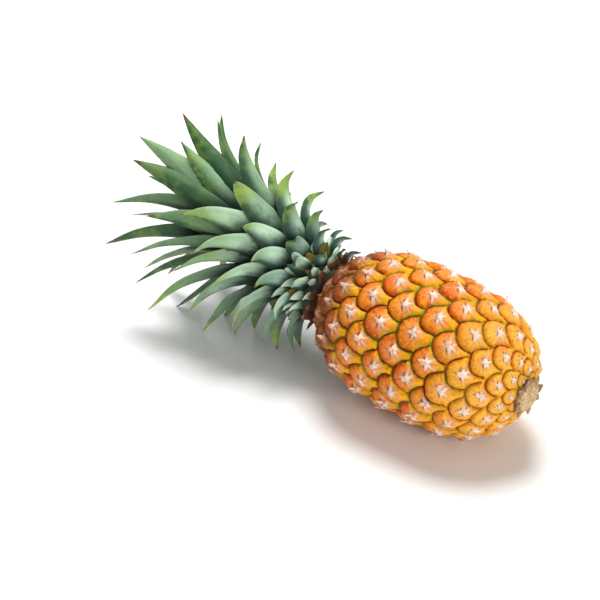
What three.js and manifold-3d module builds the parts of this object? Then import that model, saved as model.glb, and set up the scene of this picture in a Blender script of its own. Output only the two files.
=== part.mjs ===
// A whole pineapple with its crown, lying on its side.
// Millimetres, +Z up. The origin is under the eye that the fruit rests on.
// Inside the lying group the fruit's own axis is +Z, from its cut stalk to its crown,
// and +X is the side that ends up on top.
import * as THREE from 'three'
import { mergeVertices } from 'three/addons/utils/BufferGeometryUtils.js'
import Module from 'manifold-3d'

const wasm = await Module()
wasm.setup()

// fruit
const fruitDiameter = 111
const fruitLength = 186
const endBluntness = 3.3
const sideBluntness = 1.75
const crownTilt = 4           // degrees that the fruit's axis rises towards its crown
const crownBend = 18          // degrees that the crown rises above the fruit's axis
const restDepth = 1.6         // how far the eye it rests on is pressed flat

// eyes, set in a spiral lattice of 8 rows one way and 13 the other
const eyeCount = 165
const divergence = 137.3      // degrees from one eye to the next
const spiralHand = -1
const firstEyeTurn = 170
const eyeShrink = 0.25        // how much the eyes shrink towards the narrow ends
const stepsPerEye = 5
// shares of an eye's width
const domeHeight = 0.1
const domeShoulder = 0.36     // how far in from its edge an eye reaches its full height
const bractHeight = 0.08
const bractFoot = 0.9
const bractPoint = 0.16
const crownSideHeight = 0.03

// seats at the two ends of the fruit
const neckSeatRadius = 26
const neckSeatDepth = 1
const stalkSeatRadius = 14
const stalkSeatDepth = 2
const seatGap = 0.3

// collar of dry scales between the fruit and the crown
const neckThickness = 8
const neckScales = { count: 18, length: 16, width: 13, from: 84, to: 74, thickness: 1.8, channel: 0.15 }

// crown
const leafCount = 80
const leafTurn = 137.5
const firstLeafTurn = 104
const coreLength = 74
const coreFootRadius = 27
const coreTopRadius = 18
const leafSteps = 4
const leafThickness = 2.2
const leafRootDepth = 6
const leafWaist = 0.36        // width at the root, as a share of the full width
const leafChannel = 0.24       // how far the edges rise, as a share of the width
const leafSag = 22            // how far a long leaf's tip hangs
const layingHeight = 10       // height under which a leaf bends to lie on the surface
const leafPress = 5           // how far the lowest leaves are pressed on it
const underSpread = 26        // degrees that the leaves underneath open wider

// every blade, leaf or scale
const waistLength = 0.5      // share of the blade over which it widens from its root
const tipFullness = 2.2       // how late it narrows to its point
const curlDelay = 2           // how late its curl sets in

// stalk
const stalkRadius = 11.5
const stalkLength = 7
const stalkScales = { count: 9, length: 13, width: 9, from: 75, to: 95, thickness: 1.6, channel: 0.12 }

const halfLength = fruitLength / 2
const fruitRadius = fruitDiameter / 2
const radians = THREE.MathUtils.degToRad

// A repeatable draw between 0 and 1 for piece number index.
function draw(index, salt) {
  const value = Math.sin(index * 12.9898 + salt * 78.233) * 43758.5453
  return value - Math.floor(value)
}

// A value read off a short list of [place, value] stops.
function ramp(stops, place) {
  const last = stops.length - 1
  for (let i = 0; i < last; i++) {
    const [a, b] = [stops[i], stops[i + 1]]
    if (place <= b[0]) return THREE.MathUtils.mapLinear(place, a[0], b[0], a[1], b[1])
  }
  return stops[last][1]
}

function toSolid(geometry) {
  geometry.deleteAttribute('normal')
  geometry.deleteAttribute('uv')
  const merged = mergeVertices(geometry, 1e-4)
  return new wasm.Manifold(new wasm.Mesh({
    numProp: 3,
    vertProperties: new Float32Array(merged.attributes.position.array),
    triVerts: new Uint32Array(merged.index.array),
  }))
}

function toGeometry(vertices, triangles) {
  const geometry = new THREE.BufferGeometry()
  geometry.setAttribute('position', new THREE.BufferAttribute(new Float32Array(vertices), 3))
  geometry.setIndex(Array.from(triangles))
  return geometry
}

// The largest body of a solid, without the hollows that joining sealed and without scraps.
function mainBody(solid) {
  const mesh = solid.getMesh()
  const triangles = mesh.triVerts
  const owner = Array.from({ length: mesh.numVert }, (_, i) => i)
  const find = (v) => {
    while (owner[v] !== v) v = owner[v] = owner[owner[v]]
    return v
  }
  for (let t = 0; t < triangles.length; t += 3) {
    owner[find(triangles[t])] = find(triangles[t + 1])
    owner[find(triangles[t + 1])] = find(triangles[t + 2])
  }
  const point = (v) => new THREE.Vector3(...mesh.vertProperties.slice(v * 3, v * 3 + 3))
  const volumes = new Map()
  for (let t = 0; t < triangles.length; t += 3) {
    const [a, b, c] = [0, 1, 2].map((n) => point(triangles[t + n]))
    const body = find(triangles[t])
    volumes.set(body, (volumes.get(body) ?? 0) + a.dot(b.cross(c)) / 6)
  }
  const largest = [...volumes].sort((a, b) => b[1] - a[1])[0][0]
  const kept = triangles.filter((_, i) => find(triangles[i - (i % 3)]) === largest)
  return toGeometry(mesh.vertProperties, kept)
}

function material(color, roughness) {
  return new THREE.MeshStandardMaterial({ color, roughness, metalness: 0 })
}

// ---- fruit ----

function radiusAt(z) {
  const share = Math.min(Math.abs(z) / halfLength, 1)
  return fruitRadius * (1 - share ** endBluntness) ** (1 / sideBluntness)
}

function heightWhere(radius) {
  const share = (1 - (radius / fruitRadius) ** sideBluntness) ** (1 / endBluntness)
  return share * halfLength
}

// The spiral's scale: z, arc length and spacing for eye number n, counted from the stalk.
// It starts and ends a little inside the seats.
function spiralScale() {
  const inset = 3
  const from = -heightWhere(stalkSeatRadius - inset)
  const to = heightWhere(neckSeatRadius - inset)
  const samples = 1600
  const rows = [{ z: from, arc: 0, n: 0 }]
  for (let i = 1; i <= samples; i++) {
    const z = from + ((to - from) * i) / samples
    const before = rows[i - 1]
    const step = Math.hypot(z - before.z, radiusAt(z) - radiusAt(before.z))
    const middle = radiusAt((z + before.z) / 2)
    rows.push({ z, arc: before.arc + step, n: before.n + step / middle ** eyeShrink })
  }
  const stretch = eyeCount / rows[samples].n
  rows.forEach((row) => { row.n *= stretch })
  return (n) => {
    let low = 0
    let high = samples
    while (high - low > 1) {
      const middle = (low + high) >> 1
      if (rows[middle].n <= n) low = middle
      else high = middle
    }
    const [a, b] = [rows[low], rows[high]]
    const share = (n - a.n) / (b.n - a.n)
    return {
      z: a.z + (b.z - a.z) * share,
      arc: a.arc + (b.arc - a.arc) * share,
      pitch: (b.arc - a.arc) / (b.n - a.n),
    }
  }
}

const scaleAt = spiralScale()

function wrapTurn(degrees) {
  return degrees - 360 * Math.round(degrees / 360)
}

// An eye is a hexagon of this width between flats.
const eyes = Array.from({ length: eyeCount + 1 }, (_, n) => {
  const { z, arc, pitch } = scaleAt(n)
  const width = Math.sqrt((2 * Math.PI * radiusAt(z) * pitch) / Math.cos(Math.PI / 6))
  return { arc, turn: spiralHand * divergence * n + firstEyeTurn, width }
})

// Where a place on the skin lies in its own eye: along and across from the eye's middle, in
// half widths, and the distance to the groove round the eye, in widths.
function placeInEye(n, turn) {
  const here = scaleAt(n)
  const radius = radiusAt(here.z)
  const reach = 36
  const near = []
  for (let k = Math.max(0, Math.floor(n) - reach); k <= Math.min(eyeCount, n + reach); k++) {
    const along = here.arc - eyes[k].arc
    const across = radius * radians(wrapTurn(turn - eyes[k].turn))
    near.push({ k, along, across, distance: Math.hypot(along, across) })
  }
  near.sort((a, b) => a.distance - b.distance)
  const [own, ...others] = near.slice(0, 9)
  const { width } = eyes[own.k]
  const edges = others.map((other) => {
    const between = Math.hypot(other.along - own.along, other.across - own.across)
    return (other.distance ** 2 - own.distance ** 2) / (2 * between)
  })
  return {
    width,
    edge: Math.min(...edges, width) / width,
    along: own.along / (width / 2),
    across: Math.abs(own.across) / (width / 2),
  }
}

// How far the skin stands out: a dome for the eye, with the pointed bract rising towards the
// eye's middle on the stalk side, and a low swelling on the crown side.
function relief(n, turn) {
  const { width, edge, along, across } = placeInEye(n, turn)
  const dome = 1 - (1 - Math.min(edge / domeShoulder, 1)) ** 2
  const rise = THREE.MathUtils.clamp((along + 1) / 1.08, 0, 1)
  const halfWidth = THREE.MathUtils.lerp(bractFoot + bractPoint, bractPoint, rise)
  const flank = THREE.MathUtils.clamp(1.15 - across / halfWidth, 0, 1)
  const bract = along < 0.1 ? rise * flank * bractHeight : 0
  const crownSide = along > 0.1 ? Math.max(0, 1 - across * across) * crownSideHeight : 0
  return width * dome * (domeHeight + bract + crownSide)
}

function skinPoint(n, turn, lift) {
  const { z } = scaleAt(n)
  const step = 0.05
  const slope = (radiusAt(z + step) - radiusAt(z - step)) / (2 * step)
  const normal = new THREE.Vector2(1, -slope).normalize()
  const radius = radiusAt(z) + normal.x * lift
  const angle = radians(turn)
  return [radius * Math.cos(angle), radius * Math.sin(angle), z + normal.y * lift]
}

// The skin is a grid that follows the eyes' own two spirals, closed by a fan at each end.
function fruitSkin() {
  const across = 8 * divergence - 1080
  const down = 13 * divergence - 1800
  const steps = stepsPerEye
  const columns = 13 * steps
  const reach = eyeCount * steps
  const first = (i) => Math.ceil((-8 * i) / 13)
  const last = (i) => Math.floor((reach - 8 * i) / 13)
  const vertices = []
  const numbers = new Map()
  const vertex = (i, j) => {
    const turns = Math.floor(i / columns)
    const [wrappedI, wrappedJ] = [i - turns * columns, j + turns * 8 * steps]
    const key = `${wrappedI},${wrappedJ}`
    if (!numbers.has(key)) {
      const n = (8 * wrappedI + 13 * wrappedJ) / steps
      const turn = spiralHand * ((wrappedI * across + wrappedJ * down) / steps) + firstEyeTurn
      numbers.set(key, vertices.length / 3)
      vertices.push(...skinPoint(n, turn, relief(n, turn)))
    }
    return numbers.get(key)
  }
  const triangles = []
  const inside = (i, j) => {
    const place = 8 * i + 13 * j
    return place >= 0 && place <= reach
  }
  const face = (a, b, c) => triangles.push(...(spiralHand > 0 ? [a, b, c] : [a, c, b]))
  for (let i = 0; i < columns; i++) {
    for (let j = first(i) - 1; j <= last(i) + 1; j++) {
      const corners = [[i, j], [i + 1, j], [i + 1, j + 1], [i, j + 1]]
      if (!corners.every(([p, q]) => inside(p, q))) continue
      const [a, b, c, d] = corners.map(([p, q]) => vertex(p, q))
      face(a, b, c)
      face(a, c, d)
    }
  }
  closeEnds(vertices, triangles)
  return toGeometry(vertices, triangles)
}

// Each open rim gets a fan to a point on the axis.
function closeEnds(vertices, triangles) {
  const open = new Map()
  for (let t = 0; t < triangles.length; t += 3) {
    for (let n = 0; n < 3; n++) {
      const [a, b] = [triangles[t + n], triangles[t + ((n + 1) % 3)]]
      if (!open.delete(`${b},${a}`)) open.set(`${a},${b}`, [a, b])
    }
  }
  for (const side of [-1, 1]) {
    const centre = vertices.length / 3
    vertices.push(0, 0, side * halfLength)
    for (const [a, b] of open.values()) {
      if (Math.sign(vertices[a * 3 + 2]) === side) triangles.push(b, a, centre)
    }
  }
}

function disc(radius, from, to, sides) {
  const geometry = new THREE.CylinderGeometry(radius, radius, to - from, sides)
  geometry.rotateX(Math.PI / 2)
  geometry.translate(0, 0, (from + to) / 2)
  return toSolid(geometry)
}

const neckSeat = heightWhere(neckSeatRadius) - neckSeatDepth
const stalkSeat = stalkSeatDepth - heightWhere(stalkSeatRadius)

// ---- placing: the lowest eye comes to the origin ----

const lying = new THREE.Group()
lying.rotation.y = -radians(90 - crownTilt)
lying.updateMatrixWorld()

function restPoint() {
  let lowest = new THREE.Vector3(0, 0, Infinity)
  for (let n = 0; n <= eyeCount; n++) {
    const turn = eyes[n].turn
    const point = new THREE.Vector3(...skinPoint(n, turn, relief(n, turn)))
    point.applyMatrix4(lying.matrixWorld)
    if (point.z < lowest.z) lowest = point
  }
  return lowest
}

const resting = restPoint()
lying.position.set(-resting.x, -resting.y, -resting.z - restDepth)
lying.updateMatrixWorld()

function ground(matrixWorld) {
  const block = new THREE.BoxGeometry(900, 900, 100)
  block.translate(0, 0, -50)
  block.applyMatrix4(matrixWorld.clone().invert())
  return toSolid(block)
}

function fruit() {
  const solid = toSolid(fruitSkin())
    .subtract(disc(neckSeatRadius, neckSeat, halfLength + 20, 40))
    .subtract(disc(stalkSeatRadius, -halfLength - 20, stalkSeat, 28))
    .subtract(ground(lying.matrixWorld))
  return new THREE.Mesh(mainBody(solid), material(0xe0861c, 0.5))
}

// ---- blades: leaves and scales ----

// A closed, channelled blade from root to point. Each station has a left edge, an upper
// middle, a right edge and a lower middle.
function blade(stations) {
  const vertices = []
  const triangles = []
  for (const { point, side, normal, halfWidth, rise, thickness } of stations) {
    const corner = (across, up) => point.clone()
      .addScaledVector(side, across).addScaledVector(normal, up).toArray()
    vertices.push(...corner(-halfWidth, rise), ...corner(0, thickness / 2))
    vertices.push(...corner(halfWidth, rise), ...corner(0, -thickness / 2))
  }
  const last = stations.length - 1
  for (let s = 0; s < last; s++) {
    for (let n = 0; n < 4; n++) {
      const [a, b] = [s * 4 + n, s * 4 + ((n + 1) % 4)]
      triangles.push(a, b, b + 4, a, b + 4, a + 4)
    }
  }
  const tip = vertices.length / 3
  vertices.push(...stations[last].tip.toArray())
  for (let n = 0; n < 4; n++) triangles.push(last * 4 + n, last * 4 + ((n + 1) % 4), tip)
  triangles.push(0, 2, 1, 0, 3, 2)
  return toSolid(toGeometry(vertices, triangles))
}

// The shape of one blade: a midrib that leaves the axis at one angle and ends at another.
function bladeStations(leaf, bend) {
  const outward = new THREE.Vector3(Math.cos(radians(leaf.turn)), Math.sin(radians(leaf.turn)), 0)
  const axis = new THREE.Vector3(0, 0, 1)
  const around = new THREE.Vector3().crossVectors(axis, outward)
  const point = outward.clone().multiplyScalar(leaf.rootRadius)
  point.z = leaf.rootHeight
  const stations = []
  const step = leaf.length / (leaf.steps + 1)
  for (let s = 0; s <= leaf.steps; s++) {
    const place = s / (leaf.steps + 1)
    const angle = radians(leaf.from + (leaf.to - leaf.from) * place ** curlDelay)
    const along = axis.clone().multiplyScalar(Math.cos(angle))
      .addScaledVector(outward, Math.sin(angle))
      .addScaledVector(around, Math.sin(radians(leaf.lean)) * place).normalize()
    const normal = axis.clone().multiplyScalar(Math.sin(angle))
      .addScaledVector(outward, -Math.cos(angle))
    const side = new THREE.Vector3().crossVectors(along, normal).normalize()
    normal.crossVectors(side, along)
    normal.applyAxisAngle(along, radians(leaf.twist) * place)
    side.applyAxisAngle(along, radians(leaf.twist) * place)
    const widening = Math.sin(Math.min(place / waistLength, 1) * Math.PI / 2)
    const waist = leaf.waist + (1 - leaf.waist) * widening
    const halfWidth = (leaf.width / 2) * waist * (1 - place ** tipFullness)
    stations.push({
      point: bend(point, place, leaf),
      side,
      normal,
      halfWidth,
      rise: leaf.channel * 2 * halfWidth,
      thickness: leaf.thickness * (1 - 0.45 * place),
    })
    point.addScaledVector(along, step)
  }
  stations[leaf.steps].tip = bend(point, 1, leaf)
  return stations
}

// ---- crown ----

const coreFoot = 3

// Length, width, angle at the root and added curl, from the foot of the crown to its heart.
const lengthStops = [
  [0, 25], [0.15, 41], [0.35, 67], [0.45, 84], [0.58, 112], [0.72, 136], [0.85, 144], [1, 106],
]
const widthStops = [[0, 12], [0.15, 18], [0.35, 24], [0.58, 29], [0.8, 31], [1, 19]]
const angleStops = [[0, 54], [0.15, 42], [0.35, 27], [0.45, 21], [0.58, 17], [0.72, 12], [0.85, 7], [1, 2]]
const curlStops = [[0, 105], [0.15, 92], [0.35, 74], [0.45, 66], [0.58, 56], [0.72, 44], [0.85, 32], [1, 14]]

function crownLeaf(index) {
  const share = index / (leafCount - 1)
  const wander = (salt, size) => (draw(index, salt) - 0.5) * 2 * size
  const rootHeight = coreFoot + (coreLength - 7) * share ** 1.1
  const coreRadius = THREE.MathUtils.lerp(coreFootRadius, coreTopRadius, rootHeight / coreLength)
  const turn = firstLeafTurn + leafTurn * index + wander(2, 5)
  const under = Math.max(0, -Math.cos(radians(turn)))
  const from = ramp(angleStops, share) + wander(1, 4) + underSpread * under
  return {
    turn,
    rootHeight,
    rootRadius: coreRadius - leafRootDepth,
    length: ramp(lengthStops, share) * (1 + wander(3, 0.1)),
    width: ramp(widthStops, share) * (1 + wander(4, 0.08)),
    from,
    to: from + ramp(curlStops, share) * (1 + wander(5, 0.35)),
    lean: wander(6, 14),
    twist: wander(7, 22),
    channel: leafChannel,
    waist: leafWaist,
    thickness: leafThickness,
    steps: leafSteps,
  }
}

const crownGroup = new THREE.Group()
crownGroup.position.z = neckSeat + seatGap + neckThickness + seatGap
crownGroup.rotation.y = radians(crownBend)
lying.add(crownGroup)
lying.updateMatrixWorld(true)

// Lets a leaf's point hang with its place along the leaf, and lays it down softly where it
// would go into the surface the fruit lies on.
function hang(point, place, leaf) {
  const up = new THREE.Vector3(0, 0, 1).transformDirection(crownGroup.matrixWorld.clone().invert())
  const height = point.clone().applyMatrix4(crownGroup.matrixWorld).z
  const hung = height - leafSag * Math.min(leaf.length / 90, 1) * place * place
  const room = layingHeight + leafPress
  const laid = hung > layingHeight ? hung : room * Math.exp((hung - layingHeight) / room) - leafPress
  return point.clone().addScaledVector(up, laid - height)
}

function crown() {
  const core = new THREE.LatheGeometry([
    new THREE.Vector2(0, -4),
    new THREE.Vector2(coreFootRadius, -4),
    new THREE.Vector2(coreFootRadius, coreFoot),
    new THREE.Vector2(coreFootRadius - 3, coreLength * 0.45),
    new THREE.Vector2(coreTopRadius, coreLength - coreFoot),
    new THREE.Vector2(0, coreLength),
  ], 18)
  core.rotateX(Math.PI / 2)
  const leaves = Array.from({ length: leafCount }, (_, index) =>
    blade(bladeStations(crownLeaf(index), hang)))
  const seat = new THREE.CylinderGeometry(neckSeatRadius + 8, neckSeatRadius + 8, 40, 32)
  seat.rotateX(Math.PI / 2)
  seat.translate(0, 0, -20)
  seat.applyMatrix4(crownGroup.matrix.clone().setPosition(0, 0, 0).invert())
  const solid = wasm.Manifold.union([toSolid(core), ...leaves])
    .subtract(toSolid(seat))
    .subtract(ground(crownGroup.matrixWorld))
  return new THREE.Mesh(mainBody(solid), material(0x6f8f62, 0.6))
}

// ---- collar of dry scales, and the cut stalk ----

// A disc with dry scales standing out round its rim.
function scaledDisc(radius, from, to, scales, salt) {
  const blades = Array.from({ length: scales.count }, (_, index) => blade(bladeStations({
    ...scales,
    turn: index * leafTurn,
    rootHeight: THREE.MathUtils.lerp(from, to, 0.5 + (0.2 * index) / scales.count),
    rootRadius: radius - 5,
    length: scales.length * (0.85 + 0.3 * draw(index, salt)),
    lean: 0,
    twist: 0,
    waist: 0.9,
    steps: 2,
  }, (point) => point.clone())))
  return mainBody(wasm.Manifold.union([disc(radius, from, to, 32), ...blades]))
}

function neckBracts() {
  const foot = neckSeat + seatGap
  const geometry = scaledDisc(neckSeatRadius - 1.5, foot, foot + neckThickness, neckScales, 11)
  return new THREE.Mesh(geometry, material(0x8a5a30, 0.8))
}

function stalk() {
  const geometry = scaledDisc(stalkRadius, 0, stalkLength, stalkScales, 12)
  const mesh = new THREE.Mesh(geometry, material(0xb98d55, 0.85))
  mesh.rotation.x = Math.PI
  mesh.position.z = stalkSeat - seatGap
  return mesh
}

const crownMesh = crown()
crownMesh.name = 'crown'
crownGroup.add(crownMesh)
for (const [name, mesh] of Object.entries({ fruit: fruit(), neck_bracts: neckBracts(), stalk: stalk() })) {
  mesh.name = name
  lying.add(mesh)
}

const pineapple = new THREE.Group()
pineapple.add(lying)

export default pineapple
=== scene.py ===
# A whole pineapple with its crown, lying on its side.
# Sizes are in millimetres until a mesh is made. In the fruit's own space +Z runs from the cut
# stalk to the crown, and +X is the side that ends up on top.
import math

import bpy
import numpy as np
from mathutils import Matrix, Vector
from mathutils.bvhtree import BVHTree


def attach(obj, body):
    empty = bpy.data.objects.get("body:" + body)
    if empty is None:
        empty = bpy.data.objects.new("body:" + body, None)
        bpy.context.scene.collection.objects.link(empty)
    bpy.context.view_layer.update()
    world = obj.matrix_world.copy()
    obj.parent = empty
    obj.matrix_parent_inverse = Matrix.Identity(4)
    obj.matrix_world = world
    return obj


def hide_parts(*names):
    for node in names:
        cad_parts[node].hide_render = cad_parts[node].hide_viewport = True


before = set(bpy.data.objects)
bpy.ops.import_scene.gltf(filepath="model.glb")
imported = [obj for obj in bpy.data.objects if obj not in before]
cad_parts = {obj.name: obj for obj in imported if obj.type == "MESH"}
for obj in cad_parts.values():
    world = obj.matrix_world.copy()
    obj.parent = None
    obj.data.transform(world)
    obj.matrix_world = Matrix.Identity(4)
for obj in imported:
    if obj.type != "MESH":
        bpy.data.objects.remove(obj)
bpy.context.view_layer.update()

mm = 0.001
farOff = 1e4   # more than any real distance or number of an eye

placing = {
    "tilt": 4,   # degrees that the fruit's axis rises towards its crown
    "bend": 18,   # degrees that the crown rises above the fruit's axis
    "restDepth": 1.6,   # how far the eye it rests on is pressed flat
    "floorGap": 0.3,
    "seatGap": 0.3,   # between the fruit and the collar or stalk
}


def draw(index, salt):  # a repeatable draw between 0 and 1 for piece number index
    value = np.sin(index * 12.9898 + salt * 78.233) * 43758.5453   # numbers that only scramble
    return value - np.floor(value)


def wander(index, salt, size):
    return (draw(index, salt) - 0.5) * 2 * size


def ramp(stops, place):
    return float(np.interp(place, *zip(*stops)))


def smoothStep(low, high, x):
    t = np.clip((x - low) / (high - low), 0, 1)
    return t * t * (3 - 2 * t)


def within(turn):  # a turn in degrees as the same one between -180 and 180
    return turn - 360 * np.round(turn / 360)


fruit = {
    "diameter": 111, "length": 186, "endBluntness": 3.3, "sideBluntness": 1.75,
    "eyeCount": 165,
    "divergence": 137.3,   # degrees from one eye to the next
    "rows": (8, 13),   # rows of eyes one way round and the other
    "rowTurns": (3, 5),   # whole turns that so many eyes take
    "hand": -1,
    "firstTurn": 170,
    "eyeShrink": 0.25,
    "domeHeight": 0.1,   # heights are shares of an eye's width
    "domeShoulder": 0.36,
    "bractHeight": 0.08,
    "bractLength": 1.08,   # in half widths
    "bractFoot": 0.9,
    "bractPoint": 0.16,
    "bractFlank": 1.15,
    "crownSideHeight": 0.03,
    "crownSideStart": 0.1,   # in half widths from the eye's middle
    "neckSeat": 26, "neckSeatDepth": 1, "stalkSeat": 14, "stalkSeatDepth": 2, "seatInset": 3,
    "stepsPerEye": 24,
}
halfLength = fruit["length"] / 2
fruitRadius = fruit["diameter"] / 2


def radiusAt(z):
    share = np.minimum(np.abs(z) / halfLength, 1)
    return fruitRadius * (1 - share ** fruit["endBluntness"]) ** (1 / fruit["sideBluntness"])


def heightWhere(radius):
    share = 1 - (radius / fruitRadius) ** fruit["sideBluntness"]
    return share ** (1 / fruit["endBluntness"]) * halfLength


neckSeatZ = heightWhere(fruit["neckSeat"]) - fruit["neckSeatDepth"]
stalkSeatZ = fruit["stalkSeatDepth"] - heightWhere(fruit["stalkSeat"])


def spiralScale():  # z, arc length and eye number at even steps along the axis
    samples = 1600
    z = np.linspace(
        -heightWhere(fruit["stalkSeat"] - fruit["seatInset"]),
        heightWhere(fruit["neckSeat"] - fruit["seatInset"]),
        samples + 1,
    )
    step = np.hypot(np.diff(z), np.diff(radiusAt(z)))
    middle = radiusAt((z[1:] + z[:-1]) / 2)
    arc = np.concatenate([[0], np.cumsum(step)])
    number = np.concatenate([[0], np.cumsum(step / middle ** fruit["eyeShrink"])])
    return z, arc, number * fruit["eyeCount"] / number[-1]


scaleZ, scaleArc, scaleNumber = spiralScale()


def zAt(n):
    return np.interp(n, scaleNumber, scaleZ)


def arcAt(n):
    return np.interp(n, scaleNumber, scaleArc)


def makeEyes():
    n = np.arange(fruit["eyeCount"] + 1)
    row = np.clip(np.searchsorted(scaleNumber, n, side="right") - 1, 0, len(scaleZ) - 2)
    pitch = (scaleArc[row + 1] - scaleArc[row]) / (scaleNumber[row + 1] - scaleNumber[row])
    width = np.sqrt(2 * np.pi * radiusAt(zAt(n)) * pitch / math.cos(math.pi / 6))
    turn = fruit["hand"] * fruit["divergence"] * n + fruit["firstTurn"]
    return {"z": zAt(n), "arc": arcAt(n), "turn": turn, "width": width}


eyes = makeEyes()


def nearEyes(n, turn):  # the nearest eyes to each point, with the way along and across from each
    reach, nearest = 36, 9
    k = np.floor(n).astype(int)[:, None] + np.arange(-reach, reach + 1)
    real = (k >= 0) & (k <= fruit["eyeCount"])
    k = np.clip(k, 0, fruit["eyeCount"])
    along = np.where(real, arcAt(n)[:, None] - eyes["arc"][k], farOff)
    across = radiusAt(zAt(n))[:, None] * np.radians(within(turn[:, None] - eyes["turn"][k]))
    order = np.argsort(np.hypot(along, across), axis=1)[:, :nearest]
    return [np.take_along_axis(values, order, 1) for values in (k, along, across)]


def mainRelief(along, across, edge, width):
    # an eye's dome and bract, from the way along and across in half widths and the distance to
    # the groove round it in widths
    dome = 1 - (1 - np.minimum(edge / fruit["domeShoulder"], 1)) ** 2
    rise = np.clip((along + 1) / fruit["bractLength"], 0, 1)
    halfWidth = fruit["bractPoint"] + fruit["bractFoot"] * (1 - rise)
    flank = np.clip(fruit["bractFlank"] - np.abs(across) / halfWidth, 0, 1)
    bract = rise * flank * fruit["bractHeight"]
    crownSide = np.maximum(0, 1 - across * across) * fruit["crownSideHeight"]
    start = fruit["crownSideStart"]
    detail = np.where(along < start, bract, 0) + np.where(along > start, crownSide, 0)
    return width * dome * (fruit["domeHeight"] + detail)


def skinPoints(n, turn, lift):
    z, step = zAt(n), 0.05
    slope = (radiusAt(z + step) - radiusAt(z - step)) / (2 * step)
    size = np.hypot(1, slope)
    radius = radiusAt(z) + lift / size
    angle = np.radians(turn)
    return np.stack([radius * np.cos(angle), radius * np.sin(angle), z - lift * slope / size], -1)


def layDown():  # the fruit's space to the world's: the lowest eye comes to the origin
    turned = Matrix.Rotation(-math.radians(90 - placing["tilt"]), 4, "Y")
    lift = mainRelief(0, 0, 1, eyes["width"])
    tops = skinPoints(np.arange(fruit["eyeCount"] + 1), eyes["turn"], lift)
    points = tops @ np.array(turned.to_3x3()).T
    lowest = points[np.argmin(points[:, 2])]
    down = Vector(-lowest) - Vector((0, 0, placing["restDepth"]))
    return Matrix.Translation(down) @ turned


fruitSpace = layDown()
print("placing done:", [round(v, 2) for v in fruitSpace.translation])


def toWorld(points, space):
    return np.asarray(points) @ np.array(space.to_3x3()).T + np.array(space.translation)


def makeMesh(name, points, faces, finish=None, edges=(), smooth=True):  # points in millimetres
    mesh = bpy.data.meshes.new(name)
    mesh.from_pydata((np.asarray(points) * mm).tolist(), edges, faces)
    if smooth:
        mesh.shade_smooth()
    if finish:
        mesh.materials.append(finish)
    mesh.update()
    piece = bpy.data.objects.new(name, mesh)
    bpy.context.scene.collection.objects.link(piece)
    return piece


def polar(radius, turn, height):  # turn is in radians
    return radius * math.cos(turn), radius * math.sin(turn), height


def makeTurned(name, rings, sides, space, finish):  # rings are radii and heights, from below
    points = [polar(radius, 2 * math.pi * k / sides, height)
              for radius, height in rings for k in range(sides)]
    last = (len(rings) - 1) * sides
    sills = [(first + k, first + (k + 1) % sides)
             for first in range(0, last, sides) for k in range(sides)]
    faces = [(a, b, b + sides, a + sides) for a, b in sills]
    faces += [tuple(reversed(range(sides))), tuple(range(last, last + sides))]
    return makeMesh(name, toWorld(points, space), faces, finish)


def store(piece, name, values):
    values = np.asarray(values, float)
    kind, key = ("FLOAT_VECTOR", "vector") if values.ndim == 2 else ("FLOAT", "value")
    layer = piece.data.attributes.new(name, kind, "POINT")
    layer.data.foreach_set(key, values.astype(np.float32).ravel())


class Field:  # a value in a node tree: sums and products of fields add the nodes for them
    def __init__(self, wiring, socket):
        self.wiring, self.socket = wiring, socket

    def __add__(self, other):
        return self.wiring.math("ADD", self, other)

    def __rsub__(self, other):
        return self.wiring.math("SUBTRACT", other, self)

    def __mul__(self, other):
        return self.wiring.math("MULTIPLY", self, other)

    def __pow__(self, other):
        return self.wiring.math("POWER", self, other)

    def __abs__(self):
        return self.wiring.math("ABSOLUTE", self)

    def ease(self, low, high, start=0.0, end=1.0):  # smoothly from start at low to end at high
        return self.wiring.node("ShaderNodeMapRange", "Result", {
            "Value": self, "From Min": low, "From Max": high, "To Min": start, "To Max": end,
        }, interpolation_type="SMOOTHSTEP")

    def coats(self, *layers):  # this colour under thin coats, each a share and a colour
        base = self
        for share, tint in layers:
            base = self.wiring.mix(share, base, tint)
        return base


class Wiring:  # short ways to add and join nodes in one tree
    def __init__(self, tree):
        self.tree = tree

    def add(self, kind, **settings):
        node = self.tree.nodes.new(kind)
        for key, value in settings.items():
            setattr(node, key, value)
        return node

    def join(self, value, socket):
        source = value.socket if isinstance(value, Field) else value
        if isinstance(source, bpy.types.NodeSocket):
            self.tree.links.new(source, socket)
        elif source is not None:
            socket.default_value = source

    def node(self, kind, output, inputs, **settings):  # a node with the given values at its inputs
        node = self.add(kind, **settings)
        for name, value in inputs.items():
            self.join(value, socketNamed(node.inputs, name))
        return Field(self, socketNamed(node.outputs, output))

    def inOrder(self, kind, values, **settings):  # a node whose inputs are known by their order
        node = self.add(kind, **settings)
        for value, socket in zip(values, node.inputs):
            self.join(value, socket)
        return Field(self, node.outputs[0])

    def math(self, operation, *values):
        return self.inOrder("ShaderNodeMath", values, operation=operation)

    def vector(self, operation, a, b=None, scale=None):
        return self.inOrder("ShaderNodeVectorMath", (a, b, None, scale), operation=operation)


def socketNamed(sockets, name):  # the enabled one, as some nodes hold one for each data type
    return next(s for s in sockets if s.enabled and s.name == name)


def attribute(wiring, name, kind="FLOAT"):
    return wiring.node("GeometryNodeInputNamedAttribute", "Attribute", {"Name": name},
                       data_type=kind)


def keep(wiring, geometry, name, value):
    return wiring.node("GeometryNodeStoreNamedAttribute", "Geometry", {
        "Geometry": geometry, "Name": name, "Value": value,
    }, data_type="FLOAT", domain="POINT")


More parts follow.
